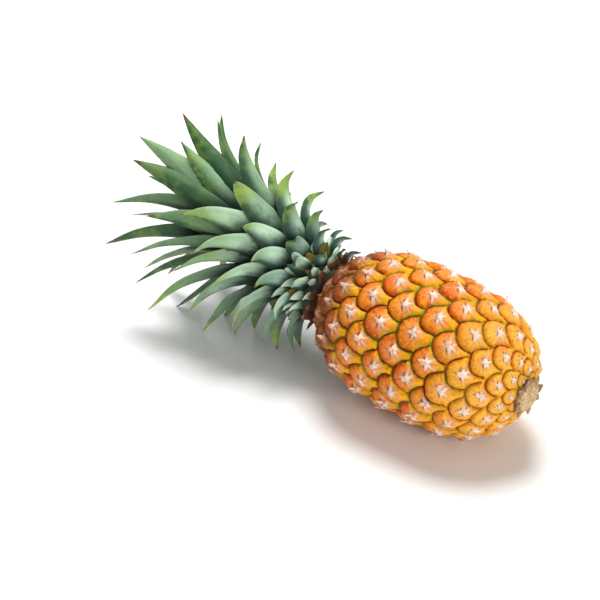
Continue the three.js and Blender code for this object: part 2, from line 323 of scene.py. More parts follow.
def grow(source, tree, values):  # runs the tree on source and keeps the result as its mesh
    modifier = source.modifiers.new("growing", "NODES")
    modifier.node_group = tree
    for item in tree.interface.items_tree:
        if item.item_type == "SOCKET" and item.in_out == "INPUT" and item.name in values:
            modifier[item.identifier] = values[item.name]
    source.update_tag()
    graph = bpy.context.evaluated_depsgraph_get()
    mesh = bpy.data.meshes.new_from_object(
        source.evaluated_get(graph), preserve_all_data_layers=True, depsgraph=graph)
    source.modifiers.remove(modifier)
    rough = source.data
    source.data = mesh
    bpy.data.meshes.remove(rough)
    mesh.name = source.name
    return source


def place(piece, nodeName):  # the piece joins the root body and stands for this node of the frame, which is hidden
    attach(piece, "root")
    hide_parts(nodeName)
    print(piece.name, "done:", len(piece.data.polygons), "faces")


def colour(code):  # a web colour as linear light
    parts = [int(code[i:i + 2], 16) / 255 for i in (0, 2, 4)]
    return [p / 12.92 if p <= 0.04045 else ((p + 0.055) / 1.055) ** 2.4 for p in parts] + [1]


class Finish(Wiring):  # a material's wiring, with its colours by name
    def __init__(self, name, colours, **values):
        self.colours = colours
        self.material = bpy.data.materials.new(name)
        self.material.use_nodes = True
        super().__init__(self.material.node_tree)
        self.shader = self.tree.nodes["Principled BSDF"]
        for key, value in values.items():
            self.shader.inputs[key].default_value = value
        self.where = self.add("ShaderNodeTexCoord").outputs["Object"]

    def join(self, value, socket):
        super().join(colour(self.colours[value]) if isinstance(value, str) else value, socket)

    def read(self, *names):
        nodes = [self.add("ShaderNodeAttribute", attribute_name=name) for name in names]
        return [Field(self, node.outputs["Fac"]) for node in nodes]

    def noise(self, scale, detail=3, roughness=0.55, *where):  # where is three fields, or left out
        spot = self.inOrder("ShaderNodeCombineXYZ", where) if where else self.where
        return self.node("ShaderNodeTexNoise", "Fac", {
            "Vector": spot, "Scale": scale, "Detail": detail, "Roughness": roughness})

    def mix(self, share, a, b):  # a where share is 0, b where it is 1
        return self.node("ShaderNodeMix", "Result", {"Factor": share, "A": a, "B": b},
                         data_type="RGBA")

    def bump(self, height, strength, distance):
        normal = self.node("ShaderNodeBump", "Normal", {
            "Height": height, "Strength": strength, "Distance": distance})
        self.join(normal, self.shader.inputs["Normal"])

    def done(self, base, roughness=None):
        self.join(base, self.shader.inputs["Base Color"])
        self.join(roughness, self.shader.inputs["Roughness"])
        return self.material


rind = {
    "capLength": 0.64,   # reach of an eye's rounded side towards the crown, in widths
    "capWidth": 0.56, "capChange": 0.09, "capShift": 0.045,
    "squareness": 2.25, "squarenessChange": 0.25, "wobble": 0.022,
    "starMiddle": 0.06,   # in half widths from the eye's middle
    "starSize": 0.19,
    "lean": 20,   # degrees that an eye's features turn from the axis
    "leanChange": 5,
    # degrees from the stalk's direction, and length in half widths
    "starRidges": ((-92, 0.8), (-38, 0.8), (22, 0.8), (84, 0.8), (158, 0.5)),
    "ridgeTurn": 12, "ridgeWidth": 0.075,
    "ridgeHeight": 0.03,   # heights are shares of an eye's width
    "heightChange": 0.07,
    "gapPlace": 1.5,   # in ridge widths from the ridge's middle
    "gapShade": 0.6,
    "creasePlace": 0.23, "creaseBend": 0.35, "creaseReach": 0.46, "creaseWidth": 0.07,
    "creaseDepth": 0.04, "grooveWidth": 0.06, "grooveDepth": 0.06,
    "pleats": 13, "pleatHeight": 0.008, "unevenness": 0.35,
    "colours": {
        "skin": "ffbe00", "skinDeep": "f79200", "skinFibre": "d96a08", "skinEdge": "c0ac10",
        "pink": "e07838", "pinkPale": "f8b48c", "cap": "ff9600", "capDeep": "f06400",
        "rim": "9c3004", "bloom": "fb9c48", "capPatch": "c8420a", "capFibre": "c84e04",
        "capSun": "ffae10", "endSkin": "ffd23c", "endFibre": "f07c14", "strand": "ffce98",
        "endRim": "d4520c", "grain": "b8480a", "grainPale": "ffcc44", "around": "fca45e",
        "star": "f6b48c", "starPale": "fff0e4", "groove": "4a1804", "grooveGreen": "4c6208",
        "endGroove": "963c06", "endGrooveGreen": "66740e", "crease": "501606", "dry": "4c1c0c",
        "dryPale": "8a4420", "dryStar": "c98a66", "speck": "6c2408",
    },
}


def eyeFields(n, turn):
    # each eye's rounded side lies over the bracts of the eyes that are nearer the crown:
    # its number, the way along and across in half widths, the reach within its rounded side
    # and the distance to the nearest groove, in widths
    k, along, across = nearEyes(n, turn)
    width = eyes["width"][k]
    along = along / width + wander(k, 24, rind["capShift"])
    across = across / width + wander(k, 25, rind["capShift"])
    lean = np.radians(rind["lean"] + wander(k, 26, rind["leanChange"]))
    along, across = (along * np.cos(lean) - across * np.sin(lean),
                     along * np.sin(lean) + across * np.cos(lean))
    size = 1 + wander(k, 22, rind["capChange"])
    square = rind["squareness"] + wander(k, 27, rind["squarenessChange"])
    reach = (np.abs(along / rind["capLength"]) ** square
             + np.abs(across / rind["capWidth"]) ** square) ** (1 / square) / size
    swing = np.arctan2(across, along)
    waves = np.sin(3 * swing + 6 * draw(k, 28)) + np.sin(5 * swing + 9 * draw(k, 20))
    reach *= 1 + rind["wobble"] * waves
    inside = reach < 1
    lowest = np.argmin(np.where(inside, k, farOff), 1)
    behind = np.argmin(np.where(along < 0, np.hypot(along, across), farOff), 1)
    owner = np.where(inside.any(1), lowest, behind)[:, None]

    def take(values):  # each point's value for the eye that it lies on
        return np.take_along_axis(values, owner, 1)[:, 0]

    over = np.where(k < take(k)[:, None], np.abs(reach - 1), farOff).min(1) * rind["capWidth"]
    own = np.abs(1 - take(reach)) * rind["capWidth"] + np.maximum(0, 0.02 - take(along)) * 1.5
    groove = np.minimum(np.minimum(over, own), 1)
    return take(k), take(along) * 2, take(across) * 2, take(reach), groove, take(width)


def fineRelief(eye, along, across, groove, width):
    # ridges that meet in a star, pleats, a crease and grooves over the main form
    back = rind["starMiddle"] - along
    away = np.hypot(back, across)
    angle = np.degrees(np.arctan2(across, back))
    star, gap = np.zeros_like(along), np.zeros_like(along)
    for number, (ridge, longest) in enumerate(rind["starRidges"]):
        off = within(angle - ridge - wander(eye, 30 + number, rind["ridgeTurn"]))
        thin = rind["ridgeWidth"] * (0.5 + 0.9 * draw(eye, 50 + number)) * (1.1 - 0.5 * away)
        aside = away * np.sin(np.radians(off)) / thin
        length = longest * (0.6 + 0.6 * draw(eye, 60 + number))
        reached = (np.abs(off) < 60) * smoothStep(length * 1.1, length * 0.4, away)
        star = np.maximum(star, np.exp(-aside ** 4) * reached)
        side = 1 if draw(number, 80) < 0.5 else -1
        gap = np.maximum(gap, np.exp(-((aside * side - rind["gapPlace"]) * 2) ** 2) * reached)
    middle = np.exp(-(away / rind["starSize"]) ** 2)
    star = np.maximum(star, middle) * smoothStep(0.0, 0.07, groove)
    curve = along - rind["creasePlace"] + rind["creaseBend"] * across ** 2
    crease = np.exp(-(curve / rind["creaseWidth"]) ** 2)
    crease = crease * np.exp(-(across / rind["creaseReach"]) ** 4)
    # the gaps beside the ridges join the crease, which is coloured as painted shadow
    crease = np.maximum(crease, gap * rind["gapShade"] * smoothStep(0.9, 0.3, away)) * (1 - star)
    pleat = np.cos(np.radians(angle) * rind["pleats"] + eye) * smoothStep(0.12, 0.5, away)
    line = smoothStep(rind["grooveWidth"], 0.0, groove)
    lift = (star * rind["ridgeHeight"] - crease * rind["creaseDepth"]
            + pleat * rind["pleatHeight"] - line * rind["grooveDepth"])
    return lift * width, star, crease


def makeRind():
    # the mesh follows the two ways that the rows of eyes wind
    steps, (few, many), (fewTurns, manyTurns) = fruit["stepsPerEye"], fruit["rows"], fruit["rowTurns"]
    columns, total = many * steps, fruit["eyeCount"] * steps
    fewTurn = few * fruit["divergence"] - fewTurns * 360
    manyTurn = many * fruit["divergence"] - manyTurns * 360
    column = np.arange(columns)
    firstRow, lastRow = -(few * column // many), (total - few * column) // many
    start = np.cumsum([0, *(lastRow - firstRow + 1)])
    i = np.repeat(column, np.diff(start))
    j = np.arange(len(i)) - start[i] + firstRow[i]
    n = (few * i + many * j) / steps
    turn = fruit["hand"] * (i * fewTurn + j * manyTurn) / steps + fruit["firstTurn"]

    eye, along, across, reach, groove, width = eyeFields(n, turn)
    lift, star, crease = fineRelief(eye, along, across, groove, width)
    main = mainRelief(along, across, groove, width)
    lift += main * (1 + wander(eye, 21, rind["heightChange"]))
    z, angle = zAt(n), np.radians(turn)
    lift += rind["unevenness"] * np.sin(3 * angle + z * 0.09) * np.sin(z * 0.13 + 2 * angle + 1)
    points = skinPoints(n, turn, lift)
    radius = np.hypot(points[:, 0], points[:, 1])
    overNeck = (points[:, 2] > neckSeatZ) & (radius < fruit["neckSeat"])
    overStalk = (points[:, 2] < stalkSeatZ) & (radius < fruit["stalkSeat"])
    points[overNeck, 2], points[overStalk, 2] = neckSeatZ, stalkSeatZ

    def number(i, j):  # the vertex at a lattice place, or -1 outside
        turns = i // columns
        i, j = i - turns * columns, j + turns * few * steps
        real = (j >= firstRow[i]) & (j <= lastRow[i])
        return np.where(real, start[i] + j - firstRow[i], -1)

    quads = np.stack([number(i, j), number(i, j + 1), number(i + 1, j + 1), number(i + 1, j)], 1)
    quads = quads[(quads >= 0).all(1)]
    edges = np.concatenate([quads[:, [k, (k + 1) % 4]] for k in range(4)])
    count = len(points)
    code, mirror = edges[:, 0] * count + edges[:, 1], edges[:, 1] * count + edges[:, 0]
    rim = edges[~np.isin(code, mirror)]
    faces = quads.tolist()   # and a fan of triangles over each open end
    faces += [[b, a, count + int(points[a, 2] > 0)] for a, b in rim.tolist()]
    centres = [[0, 0, stalkSeatZ], [0, 0, neckSeatZ]]
    world = toWorld(np.concatenate([points, centres]), fruitSpace)
    world[:, 2] = np.maximum(world[:, 2], 0)
    piece = makeMesh("rind", world, faces, rindFinish())
    layers = {"along": along, "across": across, "reach": reach, "groove": groove, "star": star,
              "crease": crease, "eyeTone": draw(eye, 23), "eyeShade": draw(eye, 29)}
    for name, values in layers.items():
        store(piece, name, np.concatenate([values, [0, 0]]))
    store(piece, "height", np.concatenate([z / halfLength, [-1, 1]]))
    return piece


def rindFinish():
    paint = Finish("rind", rind["colours"], **{
        "Subsurface Weight": 0.04, "Subsurface Radius": (0.9, 0.35, 0.1),
        "Subsurface Scale": 0.003, "Specular IOR Level": 0.12})
    along, across, reach, height = paint.read("along", "across", "reach", "height")
    groove, star, crease = paint.read("groove", "star", "crease")
    tone, shade = paint.read("eyeTone", "eyeShade")
    broad, fine, speck = paint.noise(45), paint.noise(260, 4), paint.noise(900, 2)
    patch, mottle, grain = paint.noise(120), paint.noise(170, 5, 0.65), paint.noise(420, 5, 0.7)
    back = rind["starMiddle"] - along
    away = paint.math("SQRT", back * back + across * across)
    angle = paint.math("ARCTAN2", across, back)
    fibre = paint.noise(2.6, 4, 0.6, angle * 5, away * 0.9, tone * 9)
    strand = paint.noise(3.6, 4, 0.6, angle * 7, away * 1.3, tone)
    end = height.ease(-0.3, -0.85)   # paler and brighter towards the stalk: partly the end's own yellower colour, partly painted light

    # the bract on the stalk side: yellow skin, pink and papery round the star
    pink = paint.mix(fibre.ease(0.35, 0.65), "pink", "pinkPale")
    bract = paint.mix(broad.ease(0.3, 0.7), "skin", "skinDeep").coats(
        (fibre.ease(0.5, 0.75) * 0.5, "skinFibre"),
        (groove.ease(0.13, 0.03) * broad.ease(0.42, 0.58), "skinEdge"),
        (away.ease(0.85, 0.15) * fibre.ease(0.3, 0.6, 0.1, 0.9), pink),
    )

    # the rounded crown side: orange, redder and darker towards its rim, with a pale bloom
    rim = (groove + fine * 0.14).ease(0.26, 0.07)
    cap = paint.mix(shade.ease(0.1, 0.9), "cap", "capDeep").coats(
        (rim * 0.85, "rim"),
        (reach.ease(0.85, 0.25) * (fine + broad).ease(0.75, 1.05) * 0.6, "bloom"),
        (broad.ease(0.5, 0.75) * 0.5, "capPatch"),
        (fibre.ease(0.47, 0.64) * 0.75, "capFibre"),
        (patch.ease(0.5, 0.7) * 0.55, "capSun"),
    )

    # over both: yellow near the stalk, papery strands, grain and the pale star
    papery = strand.ease(0.5, 0.62) * away.ease(1.05, 0.4) * (end * 0.35 + 0.4)
    pale = paint.mix(away.ease(0.55, 0.15), "star", "starPale")
    body = paint.mix(along.ease(-0.02, 0.1), bract, cap).coats(
        (end * broad.ease(0.35, 0.6, 0.45, 0.9), "endSkin"),
        (end * fibre.ease(0.48, 0.62, 0, 0.75), "endFibre"),
        (papery, "strand"),
        (end * rim * 0.65, "endRim"),
        (grain.ease(0.52, 0.66) * 0.55, "grain"),
        (grain.ease(0.48, 0.34) * 0.4, "grainPale"),
        (away.ease(0.9, 0.3) * mottle.ease(0.45, 0.56, 0, 0.62), "around"),
        (star.ease(0.0, 0.55) * fibre.ease(0.2, 0.55, 0.55, 1), pale),
    )

    # grooves: dark olive round each rounded side, with some green where three eyes meet
    green = broad.ease(0.46, 0.56)
    dark = paint.mix(green, "groove", "grooveGreen").coats(
        (end * 0.7, paint.mix(green, "endGroove", "endGrooveGreen")))
    edge = groove.ease(fine.ease(0.3, 0.7, 0.015, 0.09), 0.012)
    strength = (broad + shade * 0.3).ease(0.35, 0.75, 0.98, 0.75)

    # dry and reddish brown at the shoulder by the crown
    dry = (height + broad * 0.3).ease(0.5, 0.86)
    brown = paint.mix(fine.ease(0.3, 0.7), "dry", "dryPale").coats((star * 0.7, "dryStar"))
    body = body.coats(
        (edge * strength, dark),
        # painted shadow: the crease under the star's loose tip and the gaps beside its ridges are
        # coloured dark, over a real dip
        (crease.ease(0.08, 0.8, 0, 0.85), "crease"),
        (dry * 0.85, brown),
        (speck.ease(0.62, 0.8) * 0.5, "speck"),
    )
    paint.bump(fine * 0.5 + fibre * 0.8, 0.8, 0.0008)
    return paint.done(body, fibre.ease(0.3, 0.7, 0.28, 0.5))


place(makeRind(), "fruit")

# leaves and scales are all blades, swept along a line
blade = {
    "waistLength": 0.5,   # share of the blade over which it widens from its root
    "tipFullness": 2.2,   # how late it narrows to its point
    "curlDelay": 2,   # how late its curl sets in
    "crowding": 0.9,   # how much closer its stations stand towards the tip
    "thinning": 0.45,   # share of its thickness lost at the tip
    "least": 0.12,   # half width left at the tip
    "leastThickness": 0.15,
    "waveSpread": 40,   # how far apart the waves of two blades are
    "waveSlant": 1.1,
}


def bladeTree(name):
    # sweeps a thin lens-shaped section along each line of the given mesh, using the places,
    # sides, widths and so on that are stored on its points
    tree = bpy.data.node_groups.new(name, "GeometryNodeTree")
    for label, way, kind in (
            ("Geometry", "INPUT", "Geometry"), ("Geometry", "OUTPUT", "Geometry"),
            ("Section Points", "INPUT", "Int"), ("Cup Power", "INPUT", "Float"),
            ("Wave Height", "INPUT", "Float"), ("Waves", "INPUT", "Float"),
            ("Material", "INPUT", "Material")):
        tree.interface.new_socket(label, in_out=way, socket_type="NodeSocket" + kind)
    nodes = Wiring(tree)
    given = nodes.add("NodeGroupInput").outputs
    ring = nodes.node("GeometryNodeCurvePrimitiveCircle", "Curve", {
        "Resolution": given["Section Points"]})
    turn = nodes.node("GeometryNodeSplineParameter", "Factor", {}) * (2 * math.pi)
    section = keep(nodes, ring, "across", nodes.math("COSINE", turn))
    section = keep(nodes, section, "face", nodes.math("SINE", turn))
    lines = nodes.node("GeometryNodeMeshToCurve", "Curve", {"Mesh": given["Geometry"]})
    sweep = nodes.node("GeometryNodeCurveToMesh", "Mesh", {
        "Curve": lines, "Profile Curve": section, "Fill Caps": True})

    across, face, halfWidth, along, rise, tone, thickness = [attribute(nodes, name) for name in (
        "across", "face", "halfWidth", "place", "rise", "tone", "thickness")]
    midrib, side, normal = [attribute(nodes, name, "FLOAT_VECTOR")
                            for name in ("midrib", "side", "normal")]
    away = abs(across)
    cup = rise * away ** given["Cup Power"]
    swing = along * given["Waves"] + tone * blade["waveSpread"] + across * blade["waveSlant"]
    wave = nodes.math("SINE", swing) * (away * given["Wave Height"] * away) * halfWidth
    outwards = nodes.vector("SCALE", normal, scale=cup + wave + face * thickness * 0.5)
    sideways = nodes.vector("SCALE", side, scale=across * halfWidth)
    spot = nodes.vector("ADD", nodes.vector("ADD", midrib, sideways), outwards)
    aboveFloor = nodes.vector("MAXIMUM", spot, (-farOff, -farOff, 0))
    moved = nodes.node("GeometryNodeSetPosition", "Geometry", {
        "Geometry": sweep, "Position": aboveFloor})
    surface = nodes.node("GeometryNodeFlipFaces", "Mesh", {"Mesh": moved})
    for kind, inputs in (("SetShadeSmooth", {}), ("RealizeInstances", {}),
                         ("SetMaterial", {"Material": given["Material"]})):
        surface = nodes.node("GeometryNode" + kind, "Geometry", {"Geometry": surface, **inputs})
    nodes.join(surface, nodes.add("NodeGroupOutput").inputs["Geometry"])
    return tree


bladeSweep = bladeTree("blade sweep")


def bladeStations(leaf, bend, steps):  # the coarse stations of one blade: point, side, normal
    turn = math.radians(leaf["turn"])
    outward, axis = Vector(polar(1, turn, 0)), Vector((0, 0, 1))
    around = axis.cross(outward)
    point = outward * leaf["rootRadius"]
    point.z = leaf["rootHeight"]
    stations = []
    for step in range(steps + 2):
        share = step / (steps + 1)
        curled = share ** blade["curlDelay"]
        angle = math.radians(leaf["start"] + (leaf["end"] - leaf["start"]) * curled)
        along = axis * math.cos(angle) + outward * math.sin(angle)
        along = (along + around * (math.sin(math.radians(leaf["lean"])) * share)).normalized()
        normal = axis * math.sin(angle) - outward * math.cos(angle)
        side = along.cross(normal).normalized()
        normal = side.cross(along)
        twist = Matrix.Rotation(math.radians(leaf["twist"]) * share, 3, along)
        here = bend(point, share, leaf) if bend else point.copy()
        stations.append((here, twist @ side, twist @ normal))
        point = point + along * (leaf["length"] / (steps + 1))
    return stations


def smoothLine(points, shares):  # a smooth line through the points, read at shares of its length
    points = np.asarray(points)
    points = np.concatenate([[2 * points[0] - points[1]], points, [2 * points[-1] - points[-2]]])
    spans = len(points) - 3
    at = np.clip(np.asarray(shares) * spans, 0, spans - 1e-9)
    k = at.astype(int)
    t = (at - k)[:, None]
    a, b, c, d = points[k], points[k + 1], points[k + 2], points[k + 3]
    return b + 0.5 * t * (c - a + t * (2 * a - 5 * b + 4 * c - d + t * (3 * (b - c) + d - a)))


def bladeAt(shape, index, salt, start, curl, **rest):  # what every blade is given, and the rest
    return {
        "start": start,
        "end": start + curl * (1 + wander(index, salt, shape["curlChange"])),
        "lean": shape["lean"] + wander(index, salt + 1, shape["leanChange"]),
        "twist": wander(index, salt + 2, shape["twistChange"]),
        "tone": draw(index, salt + 3),
        **rest,
    }


def unit(vectors):
    return vectors / np.linalg.norm(vectors, axis=1)[:, None]


def makeBlades(name, leaves, shape, space, finish, bend=None):
    # one line of points for each blade, with all that the sweep reads stored on it
    count = shape["stations"]
    shares = np.linspace(0, 1, count) ** blade["crowding"]
    turned = np.array(space.to_3x3()).T
    widening = np.sin(np.minimum(shares / blade["waistLength"], 1) * np.pi / 2)
    waist = shape["waist"] + (1 - shape["waist"]) * widening
    thinning = (1 - blade["thinning"] * shares) * smoothStep(1.02, 0.9, shares)
    rows = []
    for leaf in leaves:
        coarse = zip(*bladeStations(leaf, bend, shape["bends"]))
        midrib, side, normal = [smoothLine(part, shares) for part in coarse]
        halfWidth = leaf["width"] / 2 * waist * (1 - shares ** blade["tipFullness"]) + blade["least"]
        rows.append({
            "midrib": toWorld(midrib, space),
            "side": unit(side @ turned), "normal": unit(normal @ turned),
            "halfWidth": halfWidth * mm,
            "rise": shape["channel"] * 2 * halfWidth * mm,
            "thickness": (shape["thickness"] * thinning + blade["leastThickness"]) * mm,
            "place": shares,
            **{key: np.full(count, leaf.get(key, 0.0)) for key in ("tone", "age", "under")},
        })
    columns = {key: np.concatenate([row[key] for row in rows]) for key in rows[0]}
    links = [(k, k + 1) for k in range(count * len(leaves) - 1) if (k + 1) % count]
    piece = makeMesh(name, columns["midrib"], [], edges=links, smooth=False)
    columns["midrib"] *= mm
    for key, values in columns.items():
        store(piece, key, values)
    return grow(piece, bladeSweep, {**shape["sweep"], "Material": finish})


# the loose papery tips of the eyes
tips = {
    "length": 6.8, "width": 4.2, "thickness": 0.8, "channel": 0.2, "waist": 0.8,
    "lift": 10,   # degrees off the skin at the root
    "curl": 42,   # degrees more at the tip
    "lean": 10,
    "depth": 0.6,   # how far below the skin a tip starts
    "skin": 0.17,   # height of the skin under a tip, in eyes' widths
    "start": -0.06,   # in eyes' widths from the middle, towards the crown
    "lowest": -0.93,  # shares of half the fruit's length between which there are tips
    "highest": 0.9,
    "turnChange": 1.5, "liftChange": 8, "sizeChange": 0.25, "curlChange": 0.5,
    "leanChange": 14, "twistChange": 30,
    "bends": 3, "stations": 6,
    "sweep": {"Section Points": 8, "Cup Power": 1.5, "Wave Height": 0.1, "Waves": 5.0},
    "colours": {"skin": "e8ab84", "pale": "fadcc6", "point": "b5502c", "root": "e8905c",
                "dry": "7e3c22"},
}


def eyeTip(k):
    arc = eyes["arc"][k] + tips["start"] * eyes["width"][k]
    z, step = float(np.interp(arc, scaleArc, scaleZ)), 0.1
    rise = float(radiusAt(z + step) - radiusAt(z - step))
    size = eyes["width"][k] / eyes["width"].max() * (1 + wander(k, 43, tips["sizeChange"]))
    start = (math.degrees(math.atan2(rise, 2 * step)) + tips["lift"]
             + wander(k, 42, tips["liftChange"]))
    return bladeAt(
        tips, k, 44, start, tips["curl"],
        turn=eyes["turn"][k] + wander(k, 41, tips["turnChange"]), rootHeight=z,
        rootRadius=float(radiusAt(z)) + tips["skin"] * eyes["width"][k] - tips["depth"],
        length=tips["length"] * size, width=tips["width"] * size, age=z / halfLength)


def tipFinish():
    paint = Finish("eye tip", tips["colours"], Roughness=0.55)
    along, tone, age = paint.read("place", "tone", "age")
    return paint.done(paint.mix(paint.noise(500).ease(0.35, 0.65), "skin", "pale").coats(
        (along.ease(0.5, 0.95) * tone.ease(0.2, 0.6), "point"),
        (along.ease(0.3, 0.0), "root"),
        (age.ease(0.55, 0.85) * 0.8, "dry"),
    ))


tipNumbers = [k for k, z in enumerate(eyes["z"])
              if halfLength * tips["lowest"] < z < halfLength * tips["highest"]]
eyeTips = [eyeTip(k) for k in tipNumbers]
place(makeBlades("eyeTips", eyeTips, tips, fruitSpace, tipFinish()), "fruit")

crown = {
    "leafCount": 80, "leafTurn": 137.5, "firstTurn": 104,
    "coreLength": 74, "coreFootRadius": 27, "coreTopRadius": 18, "coreFoot": 3,
    "coreTop": 7,   # bare length of the core over the last leaf
    "crowding": 1.1,   # how much closer the leaves stand near the foot
    "rootDepth": 6,
    "thickness": 1.7, "waist": 0.36, "channel": 0.24,
    "sag": 22,   # how far a long leaf's tip hangs
    "sagLength": 90,
    "layingHeight": 10,   # height under which a leaf bends to lie on the surface
    "press": 5,
    "underSpread": 26,   # degrees that the leaves underneath open wider
    "neckThickness": 8,
    "tipTrim": 0.6,
    # length, width, angle at the root and added curl, from the foot to the heart
    "lengths": [(0, 25), (.15, 41), (.35, 67), (.45, 84), (.58, 112), (.72, 136), (.85, 144), (1, 106)],
    "widths": [(0, 12), (.15, 18), (.35, 24), (.58, 29), (.8, 31), (1, 19)],
    "angles": [(0, 54), (.15, 42), (.35, 27), (.45, 21), (.58, 17), (.72, 12), (.85, 7), (1, 2)],
    "curls": [(0, 105), (.15, 92), (.35, 74), (.45, 66), (.58, 56), (.72, 44), (.85, 32), (1, 14)],
    "turnChange": 5, "angleChange": 4, "lengthChange": 0.1, "widthChange": 0.08,
    "curlChange": 0.35, "lean": 0, "leanChange": 14, "twistChange": 22,
    "bends": 4, "stations": 26,
    "sweep": {"Section Points": 18, "Cup Power": 1.7, "Wave Height": 0.05, "Waves": 14.0},
    "colours": {
        "root": "0c241c", "leaf": "2f6658", "innerLeaf": "235630", "bloom": "cbeee0",
        "innerBloom": "c4e6ae", "streak": "dcf4e6", "lit": "cef2c8", "edge": "d2eecb",
        "turned": "143c28", "underShadeAndDarkTone": "1d4632", "deep": "173f16", "pale": "bfe0b4",
        "lime": "5d8c34", "limePale": "9cbb5c", "inside": "12361f", "insidePale": "2f6438",
        "olive": "274812", "olivePale": "4f6218", "base": "0a1812", "margin": "9fb89a",
        "tip": "6e4c24", "crowdShade": "04140c",
    },
}
crownFoot = neckSeatZ + crown["neckThickness"] + 2 * placing["seatGap"]
crownSpace = (fruitSpace @ Matrix.Translation((0, 0, crownFoot))
              @ Matrix.Rotation(math.radians(placing["bend"]), 4, "Y"))
crownBack = crownSpace.inverted()


def crownLeaf(index):
    share = index / (crown["leafCount"] - 1)
    rooted = (crown["coreLength"] - crown["coreTop"]) * share ** crown["crowding"]
    rootHeight = crown["coreFoot"] + rooted
    up = rootHeight / crown["coreLength"]
    radius = crown["coreFootRadius"] + (crown["coreTopRadius"] - crown["coreFootRadius"]) * up
    turn = crown["firstTurn"] + crown["leafTurn"] * index + wander(index, 2, crown["turnChange"])
    under = max(0, -math.cos(math.radians(turn)))
    start = (ramp(crown["angles"], share) + wander(index, 1, crown["angleChange"])
             + crown["underSpread"] * under)
    length = ramp(crown["lengths"], share) * (1 + wander(index, 3, crown["lengthChange"]))
    width = ramp(crown["widths"], share) * (1 + wander(index, 4, crown["widthChange"]))
    return bladeAt(
        crown, index, 5, start, ramp(crown["curls"], share), turn=turn,
        rootHeight=rootHeight, rootRadius=radius - crown["rootDepth"],
        length=length - crown["tipTrim"], width=width, age=share, under=under)


def hang(point, share, leaf):  # a leaf's tip hangs, and a low leaf lies down softly
    world = crownSpace @ point
    hung = world.z - crown["sag"] * min(leaf["length"] / crown["sagLength"], 1) * share * share
    room = crown["layingHeight"] + crown["press"]
    low = room * math.exp((hung - crown["layingHeight"]) / room) - crown["press"]
    world.z = hung if hung > crown["layingHeight"] else low
    return crownBack @ world


def leafFinish():
    paint = Finish("leaf", crown["colours"], **{
        "Specular IOR Level": 0.2, "Subsurface Weight": 0.03,
        "Subsurface Radius": (0.2, 0.6, 0.2), "Subsurface Scale": 0.002})
    across, along, face = paint.read("across", "place", "face")
    tone, age, under, seen = paint.read("tone", "age", "under", "open")
    broad, fine, mottle = paint.noise(22), paint.noise(190, 4), paint.noise(60, 4, 0.65)
    vein = paint.noise(3.2, 3, 0.6, across * 9, along * 2, tone * 30)
    away = abs(across)
    patch = broad * 0.35 + vein * 0.2 + mottle * 0.2 + tone * 0.16
    grown = (along + patch * 0.3).ease(0.35, 0.85)
    outer = (age + tone * 0.14).ease(0.66, 0.82, 1.0, 0.12)   # the heart has less bloom
    inner = age.ease(0.7, 0.82)

    # outside: dark teal towards the root, partly painted shade, then a silvery bloom, yellow-green
    # towards some tips
    silver = paint.mix(age.ease(0.1, 0.8), "bloom", "innerBloom")
    bloom = ((along + patch).ease(0.8, 1.1) * away.ease(1.0, 0.3, 0.15, 0.95) * outer
             * mottle.ease(0.32, 0.54, 0.6, 1))
    streak = vein.ease(0.55, 0.68) * away.ease(0.9, 0.5, 0, 0.5) * outer * grown
    # a painted highlight along the side of each leaf that faces the light
    lit = across.ease(-0.1, -0.6) * along.ease(0.3, 0.5) * outer.ease(0.1, 1, 0.16, 0.46)
    # a narrower painted highlight near the margin on that lit side
    edge = (across.ease(-0.6, -0.92) * along.ease(0.2, 0.45) * vein.ease(0.35, 0.55, 0.2, 0.7)
            * outer.ease(0.1, 1, 0.25, 1))
    # painted shade on the leaves underneath, and some leaves darker at random
    underShadeAndDarkTone = paint.math("MAXIMUM", under.ease(0.15, 0.7, 0, 0.62), tone.ease(0.72, 1, 0, 0.4))
    ripe = ((along + patch + age * 0.15).ease(1.1, 1.4) * mottle.ease(0.4, 0.56, 0.35, 0.95)
            * outer.ease(0.1, 1.0, 0.35, 1.0))
    back = paint.mix(grown, "root", paint.mix(age, "leaf", "innerLeaf")).coats(
        (bloom, silver),
        (streak, "streak"),
        (lit, "lit"),
        (edge, "edge"),
        # painted shade on the side of each leaf turned from the light
        (across.ease(-0.1, 0.7, 0, 0.8), "turned"),
        (underShadeAndDarkTone, "underShadeAndDarkTone"),
        (tone.ease(0.45, 0.62, 0, 0.7) * inner, "deep"),
        (tone.ease(0.38, 0.22, 0, 0.5) * inner * vein.ease(0.35, 0.6, 0.4, 1), "pale"),
        (ripe, paint.mix(mottle.ease(0.35, 0.65), "lime", "limePale")),
    )

    # inside: deep green with an olive cast
    front = paint.mix(vein.ease(0.3, 0.7), "inside", "insidePale").coats(
        (tone.ease(0.4, 1) * age.ease(0.5, 0.8),
         paint.mix(broad.ease(0.35, 0.65), "olive", "olivePale")))

    # painted shade, nearly black at the root deep in the crown; a pale margin, dry brown tips
    body = paint.mix(face.ease(0.15, -0.15), front, back).coats(
        (along.ease(0.5, 0.15) * 0.92, "base"),
        (away.ease(0.93, 1.0) * 0.3, "margin"),
        ((along + fine * 0.08 + tone * 0.05).ease(1.01, 1.06), "tip"),
        # painted shade where other leaves crowd close, from the stored openness
        (seen.ease(0.6, 0.12, 0, 0.95), "crowdShade"),
    )
    paint.bump(vein + fine * 0.25, 0.25, 0.0006)
    return paint.done(body, broad.ease(0.2, 0.8, 0.36, 0.56))


leaves = [crownLeaf(index) for index in range(crown["leafCount"])]
crownPiece = makeBlades("crownLeaves", leaves, crown, crownSpace, leafFinish(), hang)
place(crownPiece, "crown")

